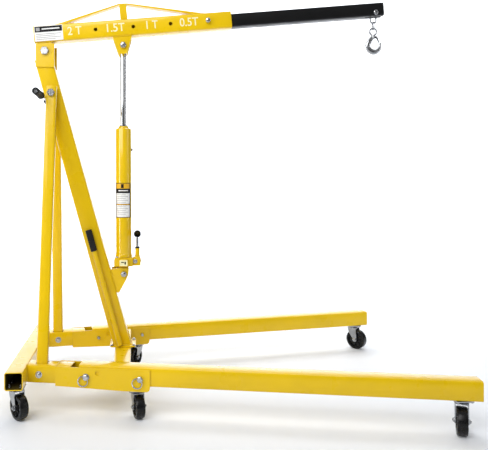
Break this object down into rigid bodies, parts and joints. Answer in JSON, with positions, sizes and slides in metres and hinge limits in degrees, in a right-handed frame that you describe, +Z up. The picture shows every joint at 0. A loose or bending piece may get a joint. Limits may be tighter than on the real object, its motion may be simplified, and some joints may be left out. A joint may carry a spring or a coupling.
{
  "type": "engine hoist crane",
  "caption": "Folding workshop crane with a leaning braced mast, hydraulic ram, telescopic boom with hook, and splayed folding legs on swivel casters.",
  "frame": {"origin": "on the floor, at the centre of the bounding box seen from above", "axes": "+X forward along the boom, from the rear crossmember to the legs' front; +Y to the crane's left; +Z up"},
  "size_m": [1.6258, 1.0691, 1.5925],
  "materials": {
    "yellow_paint": "gloss enamel",
    "black_paint": "semi-gloss enamel",
    "zinc_plate": "zinc plated",
    "chrome": "polished",
    "black_rubber": "matt",
    "wheel_black": "satin"
  },
  "bodies": {
    "frame": {"rear_crossmember": "yellow_paint", "mast_crossmember": "yellow_paint", "rail_left": "yellow_paint", "rail_right": "yellow_paint", "leg_channel_left": "yellow_paint", "leg_channel_right": "yellow_paint", "leg_pivot_pin_left": "zinc_plate", "leg_pivot_pin_right": "zinc_plate", "mast": "yellow_paint", "mast_head_plate_left": "yellow_paint", "mast_head_plate_right": "yellow_paint", "ram_bracket": "yellow_paint", "brace_left": "yellow_paint", "brace_right": "yellow_paint", "brace_bolt": "zinc_plate", "push_handle": "zinc_plate", "push_grip_left": "black_rubber", "push_grip_right": "black_rubber", "handle_holder": "yellow_paint", "boom_pivot_bolt": "zinc_plate", "caster_rear_left_plate": "zinc_plate", "caster_rear_right_plate": "zinc_plate", "caster_mid_left_plate": "zinc_plate", "caster_mid_right_plate": "zinc_plate"},
    "boom": {"boom": "yellow_paint", "boom_ram_bracket": "yellow_paint", "boom_truss": "yellow_paint"},
    "boom_lock_pin": {"boom_lock_pin": "zinc_plate"},
    "extension": {"boom_extension": "black_paint", "hook_bolt": "zinc_plate"},
    "shackle": {"shackle": "zinc_plate"},
    "hook": {"hook": "zinc_plate"},
    "latch": {"hook_latch": "zinc_plate"},
    "ram": {"ram_barrel": "yellow_paint", "ram_base": "yellow_paint", "pump_cylinder": "yellow_paint"},
    "ram_rod": {"ram_rod": "chrome"},
    "release_valve": {"release_valve": "zinc_plate"},
    "plunger": {"pump_plunger": "zinc_plate"},
    "lever": {"pump_lever": "yellow_paint"},
    "pump_handle": {"pump_handle": "yellow_paint", "pump_handle_grip": "black_rubber"},
    "leg_left": {"leg_left": "yellow_paint", "caster_front_left_plate": "zinc_plate"},
    "lock_pin_left": {"leg_lock_pin_left": "zinc_plate"},
    "fork_rear_left": {"caster_rear_left_fork": "zinc_plate"},
    "wheel_rear_left": {"caster_rear_left_wheel": "wheel_black"},
    "fork_mid_left": {"caster_mid_left_fork": "zinc_plate"},
    "wheel_mid_left": {"caster_mid_left_wheel": "wheel_black"},
    "fork_front_left": {"caster_front_left_fork": "zinc_plate"},
    "wheel_front_left": {"caster_front_left_wheel": "wheel_black"},
    "leg_right": {"leg_right": "yellow_paint", "caster_front_right_plate": "zinc_plate"},
    "lock_pin_right": {"leg_lock_pin_right": "zinc_plate"},
    "fork_rear_right": {"caster_rear_right_fork": "zinc_plate"},
    "wheel_rear_right": {"caster_rear_right_wheel": "wheel_black"},
    "fork_mid_right": {"caster_mid_right_fork": "zinc_plate"},
    "wheel_mid_right": {"caster_mid_right_wheel": "wheel_black"},
    "fork_front_right": {"caster_front_right_fork": "zinc_plate"},
    "wheel_front_right": {"caster_front_right_wheel": "wheel_black"}
  },
  "joints": [
    {"name": "boom_lift", "type": "hinge", "parent": "frame", "child": "boom", "pos_m": [-0.7118, 0, 1.3696], "axis": [0, -1, 0], "range_deg": [-60, 0]},
    {"name": "boom_lock_pin_pull", "type": "slide", "parent": "boom", "child": "boom_lock_pin", "axis": [0, -1, 0], "range_m": [0, 0.05]},
    {"name": "extension_slide", "type": "slide", "parent": "boom", "child": "extension", "axis": [0.9959, 0, 0.0906], "range_m": [-0.4566, 0]},
    {"name": "shackle_swing", "type": "hinge", "parent": "extension", "child": "shackle", "pos_m": [0.64749, 0, 1.54843], "axis": [0, -1, 0], "range_deg": [-20, 70]},
    {"name": "hook_swing", "type": "hinge", "parent": "shackle", "child": "hook", "pos_m": [0.64749, 0, 1.48173], "axis": [0, -1, 0], "range_deg": [-35, 35]},
    {"name": "latch_open", "type": "hinge", "parent": "hook", "child": "latch", "pos_m": [0.66149, 0, 1.45223], "axis": [0, 1, 0], "range_deg": [0, 34], "stiffness_Nm_per_rad": 0.02, "springref_deg": -28.65},
    {"name": "ram_tilt", "type": "hinge", "parent": "frame", "child": "ram", "pos_m": [-0.3972, 0, 0.4719], "axis": [0, -1, 0], "range_deg": [0, 11.96]},
    {"name": "rod_slide", "type": "slide", "parent": "ram", "child": "ram_rod", "axis": [-0.0019, 0, 1], "range_m": [-0.2724, 0]},
    {"name": "release_valve_turn", "type": "hinge", "parent": "ram", "child": "release_valve", "pos_m": [-0.39729, 0, 0.5189], "axis": [0, -1, 0], "range_deg": [0, 180]},
    {"name": "lever_pump", "type": "hinge", "parent": "ram", "child": "lever", "pos_m": [-0.34152, 0.03, 0.63601], "axis": [-1, 0, 0], "range_deg": [-10, 40]},
    {"name": "plunger_slide", "type": "slide", "parent": "ram", "child": "plunger", "axis": [-0.0019, 0, 1], "range_m": [-0.0054, 0.0212]},
    {"name": "pump_handle_pull", "type": "slide", "parent": "frame", "child": "pump_handle", "axis": [-0.2639, 0, 0.9646], "range_m": [0, 0.3]},
    {"name": "leg_fold_left", "type": "hinge", "parent": "frame", "child": "leg_left", "pos_m": [-0.5213, 0.25227, 0.1449], "axis": [0.1772, -0.9842, 0], "range_deg": [0, 90]},
    {"name": "lock_pin_pull_left", "type": "slide", "parent": "frame", "child": "lock_pin_left", "axis": [-0.1772, 0.9842, 0], "range_m": [0, 0.09]},
    {"name": "caster_swivel_rear_left", "type": "hinge", "parent": "frame", "child": "fork_rear_left", "pos_m": [-0.7775, 0.275, 0.113], "axis": [0, 0, 1], "continuous": true},
    {"name": "wheel_spin_rear_left", "type": "hinge", "parent": "fork_rear_left", "child": "wheel_rear_left", "pos_m": [-0.76998, 0.25433, 0.045], "axis": [0.9397, 0.342, 0], "continuous": true},
    {"name": "caster_swivel_mid_left", "type": "hinge", "parent": "frame", "child": "fork_mid_left", "pos_m": [-0.343, 0.28436, 0.1], "axis": [0, 0, 1], "continuous": true},
    {"name": "wheel_spin_mid_left", "type": "hinge", "parent": "fork_mid_left", "child": "wheel_mid_left", "pos_m": [-0.35447, 0.26798, 0.0415], "axis": [0.8192, -0.5736, 0], "continuous": true},
    {"name": "caster_swivel_front_left", "type": "hinge", "parent": "leg_left", "child": "fork_front_left", "pos_m": [0.752, 0.48146, 0.1165], "axis": [0, 0, 1], "continuous": true},
    {"name": "wheel_spin_front_left", "type": "hinge", "parent": "fork_front_left", "child": "wheel_front_left", "pos_m": [0.76404, 0.46808, 0.0475], "axis": [0.7431, 0.6691, 0], "continuous": true},
    {"name": "leg_fold_right", "type": "hinge", "parent": "frame", "child": "leg_right", "pos_m": [-0.5213, -0.25227, 0.1449], "axis": [-0.1772, -0.9842, 0], "range_deg": [0, 90]},
    {"name": "lock_pin_pull_right", "type": "slide", "parent": "frame", "child": "lock_pin_right", "axis": [-0.1772, -0.9842, 0], "range_m": [0, 0.09]},
    {"name": "caster_swivel_rear_right", "type": "hinge", "parent": "frame", "child": "fork_rear_right", "pos_m": [-0.7775, -0.275, 0.113], "axis": [0, 0, 1], "continuous": true},
    {"name": "wheel_spin_rear_right", "type": "hinge", "parent": "fork_rear_right", "child": "wheel_rear_right", "pos_m": [-0.76396, -0.29234, 0.045], "axis": [0.788, 0.6157, 0], "continuous": true},
    {"name": "caster_swivel_mid_right", "type": "hinge", "parent": "frame", "child": "fork_mid_right", "pos_m": [-0.343, -0.28436, 0.1], "axis": [0, 0, 1], "continuous": true},
    {"name": "wheel_spin_mid_right", "type": "hinge", "parent": "fork_mid_right", "child": "wheel_mid_right", "pos_m": [-0.33816, -0.30377, 0.0415], "axis": [0.9703, 0.2419, 0], "continuous": true},
    {"name": "caster_swivel_front_right", "type": "hinge", "parent": "leg_right", "child": "fork_front_right", "pos_m": [0.752, -0.48146, 0.1165], "axis": [0, 0, 1], "continuous": true},
    {"name": "wheel_spin_front_right", "type": "hinge", "parent": "fork_front_right", "child": "wheel_front_right", "pos_m": [0.74411, -0.49764, 0.0475], "axis": [0.8988, -0.4384, 0], "continuous": true}
  ],
  "couplings": [
    {"joint": "ram_tilt", "follows": "boom_lift", "ratio": -0.19428},
    {"joint": "rod_slide", "follows": "boom_lift", "m_per_rad": 0.25914},
    {"joint": "plunger_slide", "follows": "lever_pump", "m_per_rad": 0.03}
  ]
}
